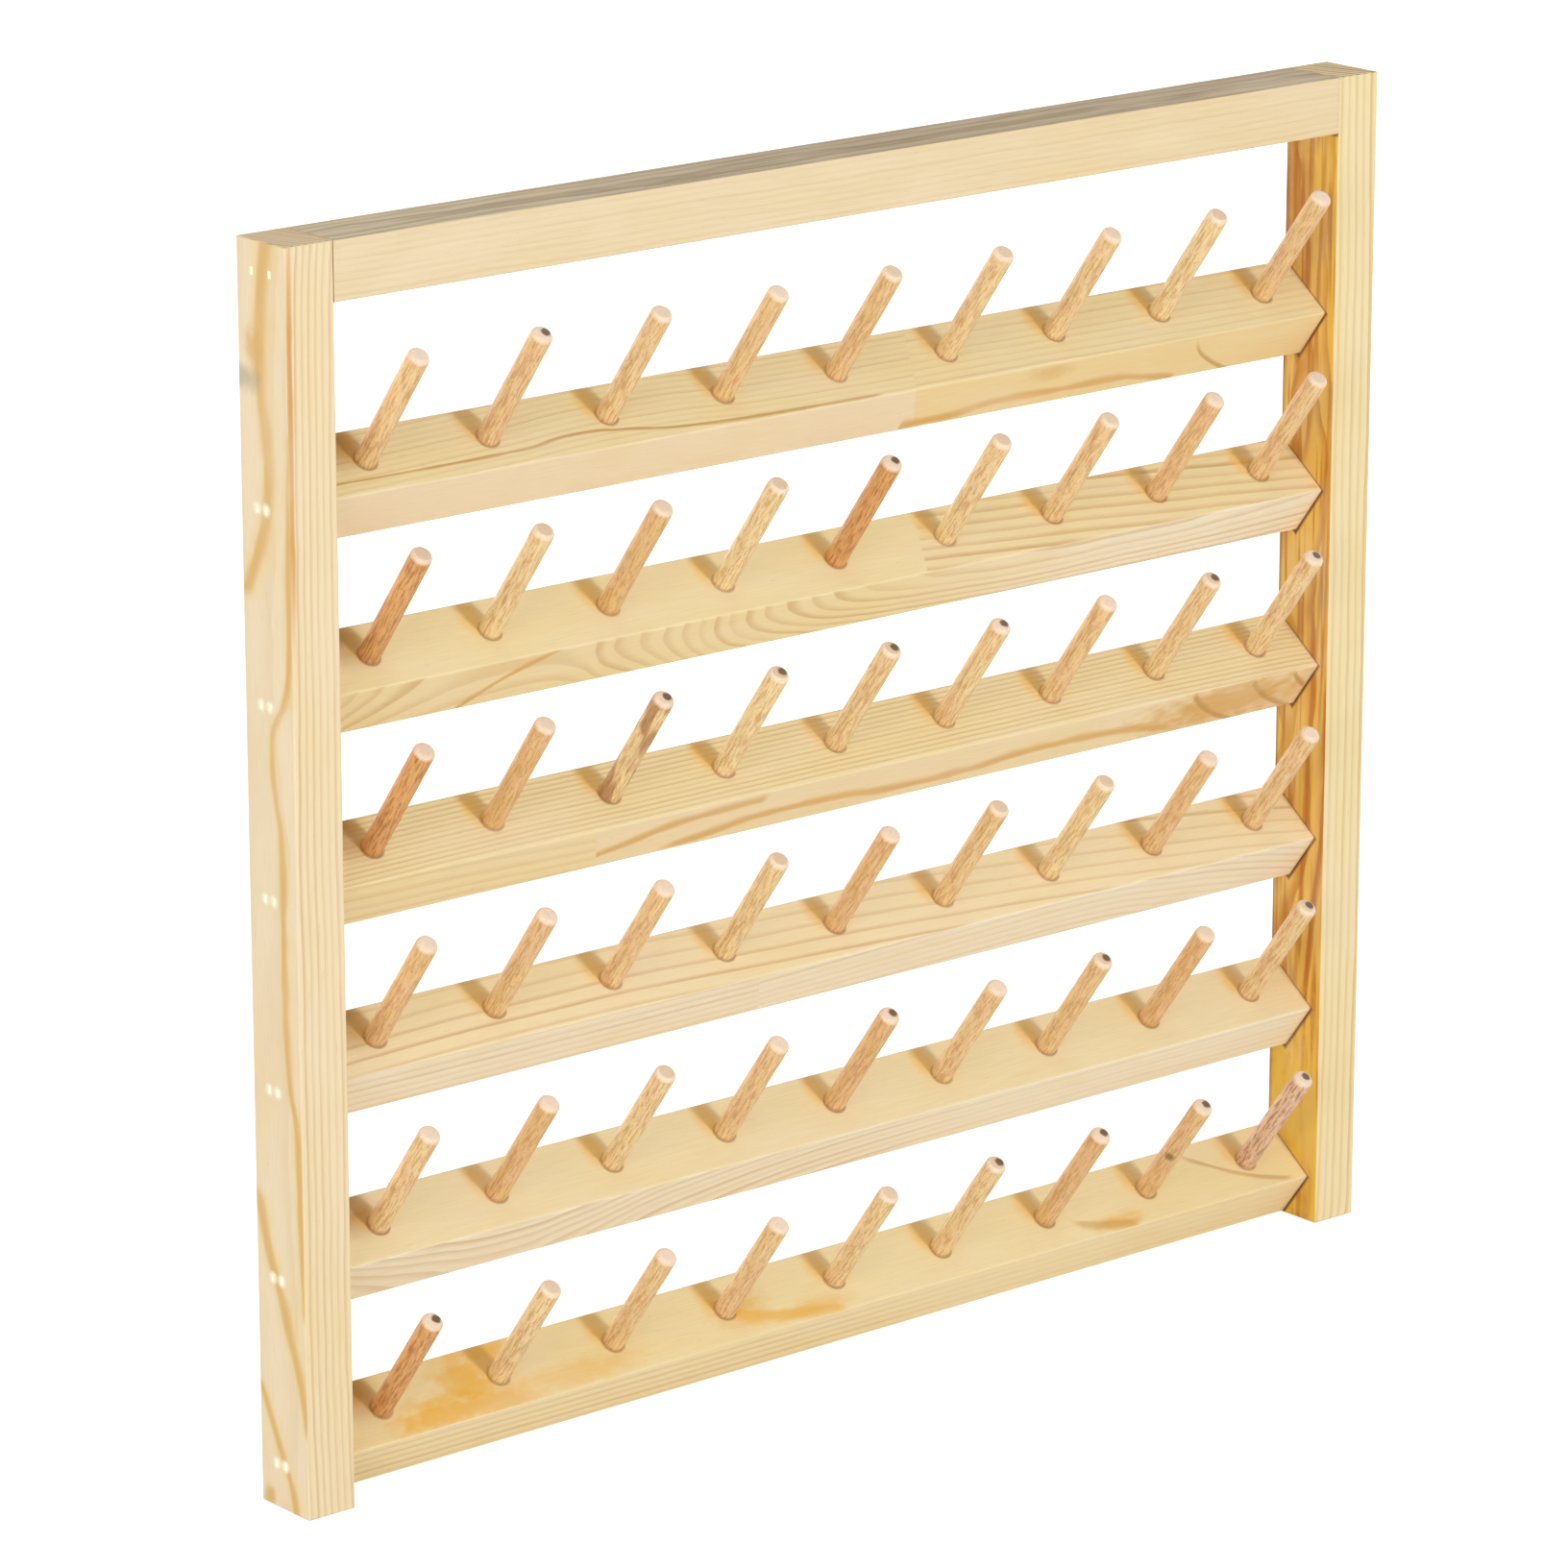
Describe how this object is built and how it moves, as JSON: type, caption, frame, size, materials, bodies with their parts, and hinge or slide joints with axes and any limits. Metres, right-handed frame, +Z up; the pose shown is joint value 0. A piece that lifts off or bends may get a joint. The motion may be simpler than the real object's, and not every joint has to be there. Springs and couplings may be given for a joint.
{
  "type": "thread rack",
  "caption": "Wall-hung wooden rack for thread spools: a square pine frame with tilted rails that carry rows of round upright pegs.",
  "frame": {"origin": "centre of the back face of the third peg rail from the top, in the plane of the frame's back, close to the middle of the rack", "axes": "+X along the rails to the viewer's right when facing the rack, +Y from the front into the wall, +Z up"},
  "size_m": [0.4, 0.0393, 0.358],
  "materials": {
    "pine_stile": "planed and sanded pine with straight grain, clear and matt",
    "pine_rail": "planed and sanded pine with flat-sawn grain, clear and matt",
    "beech_peg": "turned hardwood dowel, sanded, darker end grain",
    "steel_brad": "bright brad heads, flush with the wood",
    "steel_hanger": "zinc-plated stamped steel",
    "steel_nail": "zinc-plated round-head nails"
  },
  "bodies": {
    "root": {"left_stile": "pine_stile", "right_stile": "pine_stile", "top_rail": "pine_rail", "peg_rail_1": "pine_rail", "peg_rail_2": "pine_rail", "peg_rail_3": "pine_rail", "peg_rail_4": "pine_rail", "peg_rail_5": "pine_rail", "peg_rail_6": "pine_rail", "pegs_row_1": "beech_peg", "pegs_row_2": "beech_peg", "pegs_row_3": "beech_peg", "pegs_row_4": "beech_peg", "pegs_row_5": "beech_peg", "pegs_row_6": "beech_peg", "left_brads": "steel_brad", "left_hanger": "steel_hanger", "left_hanger_nails": "steel_nail", "right_brads": "steel_brad", "right_hanger": "steel_hanger", "right_hanger_nails": "steel_nail"}
  },
  "joints": []
}
